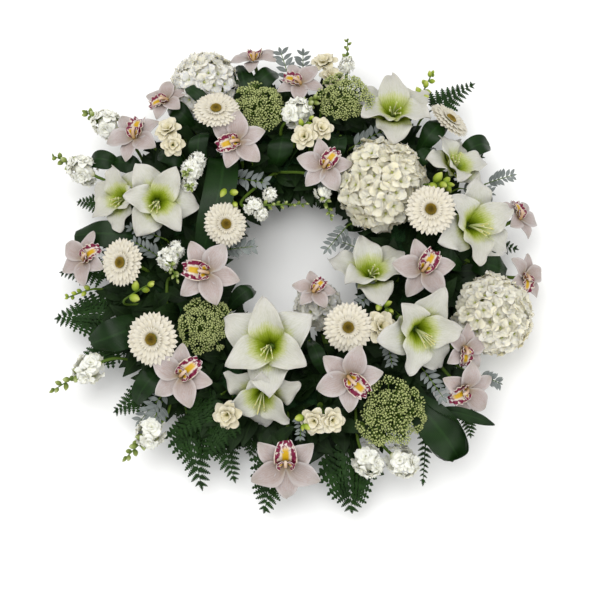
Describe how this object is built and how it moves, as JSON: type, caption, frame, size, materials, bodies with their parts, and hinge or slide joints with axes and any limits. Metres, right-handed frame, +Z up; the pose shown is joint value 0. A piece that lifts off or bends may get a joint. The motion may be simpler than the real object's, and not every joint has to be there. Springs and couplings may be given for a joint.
{
  "type": "funeral wreath",
  "caption": "Ring wreath of white and cream cut flowers, fern and grey foliage set in a floral foam ring on a shallow tray, open in the middle; lies flat on its tray.",
  "frame": {"origin": "on the floor under the middle of the bounding box; the tray's own middle lies about 1 mm to +X and 5 mm to +Y of it", "axes": "+Z up, away from the tray's underside; +X to the right and +Y away from the viewer in the picture's view of the wreath"},
  "size_m": [0.6474, 0.634, 0.1706],
  "materials": {
    "tray": "moulded, dark grey-green",
    "foam": "wet green floral foam, crumbly",
    "white_petal": "white petal, green at the throat",
    "orchid_petal": "waxy pale pink-cream petal, spotted lip",
    "cream_petal": "cream ray petals, brown-gold disc",
    "hydrangea_petal": "creamy white florets",
    "ammi_green": "green lacy umbel",
    "freesia_cream": "cream bloom and green-yellow buds",
    "stock_cream": "ruffled cream florets, pale green buds",
    "dark_leaf": "glossy dark green leaf",
    "fern_green": "leathery green fern frond",
    "grey_leaf": "soft silver-grey leaf"
  },
  "bodies": {
    "root": {"amaryllis_centre": "white_petal", "amaryllis_front": "white_petal", "amaryllis_left": "white_petal", "amaryllis_right": "white_petal", "amaryllis_top": "white_petal", "ammi_left": "ammi_green", "ammi_low_right": "ammi_green", "ammi_top": "ammi_green", "ammi_top_right": "ammi_green", "aspidistra_inner_left": "dark_leaf", "aspidistra_left": "dark_leaf", "aspidistra_low_right": "dark_leaf", "aspidistra_top": "dark_leaf", "fern_bottom": "fern_green", "fern_left": "fern_green", "fern_low_left": "fern_green", "fern_top_right": "fern_green", "foam_ring": "foam", "freesia_bottom": "freesia_cream", "freesia_buds_right": "freesia_cream", "freesia_centre": "freesia_cream", "freesia_far_top": "freesia_cream", "freesia_top": "freesia_cream", "freesia_top_left": "freesia_cream", "gerbera_front": "cream_petal", "gerbera_inner": "cream_petal", "gerbera_left": "cream_petal", "gerbera_low_left": "cream_petal", "gerbera_right": "cream_petal", "gerbera_top_left": "cream_petal", "gerbera_top_right": "cream_petal", "hydrangea_far_right": "hydrangea_petal", "hydrangea_inner": "hydrangea_petal", "hydrangea_right": "hydrangea_petal", "hydrangea_top": "hydrangea_petal", "orchid_bottom": "orchid_petal", "orchid_centre_right": "orchid_petal", "orchid_front": "orchid_petal", "orchid_inner_left": "orchid_petal", "orchid_inner_low": "orchid_petal", "orchid_inner_right": "orchid_petal", "orchid_inner_top": "orchid_petal", "orchid_left": "orchid_petal", "orchid_left_top": "orchid_petal", "orchid_low_left": "orchid_petal", "orchid_low_right": "orchid_petal", "orchid_right": "orchid_petal", "orchid_top": "orchid_petal", "sprig_inner_left": "grey_leaf", "sprig_inner_right": "grey_leaf", "sprig_top": "grey_leaf", "stock_bottom": "stock_cream", "stock_inner_left": "stock_cream", "stock_inner_top": "stock_cream", "stock_left": "stock_cream", "stock_low_left": "stock_cream", "stock_opening": "stock_cream", "stock_top": "stock_cream", "stock_upper": "stock_cream", "tray": "tray"}
  },
  "joints": []
}
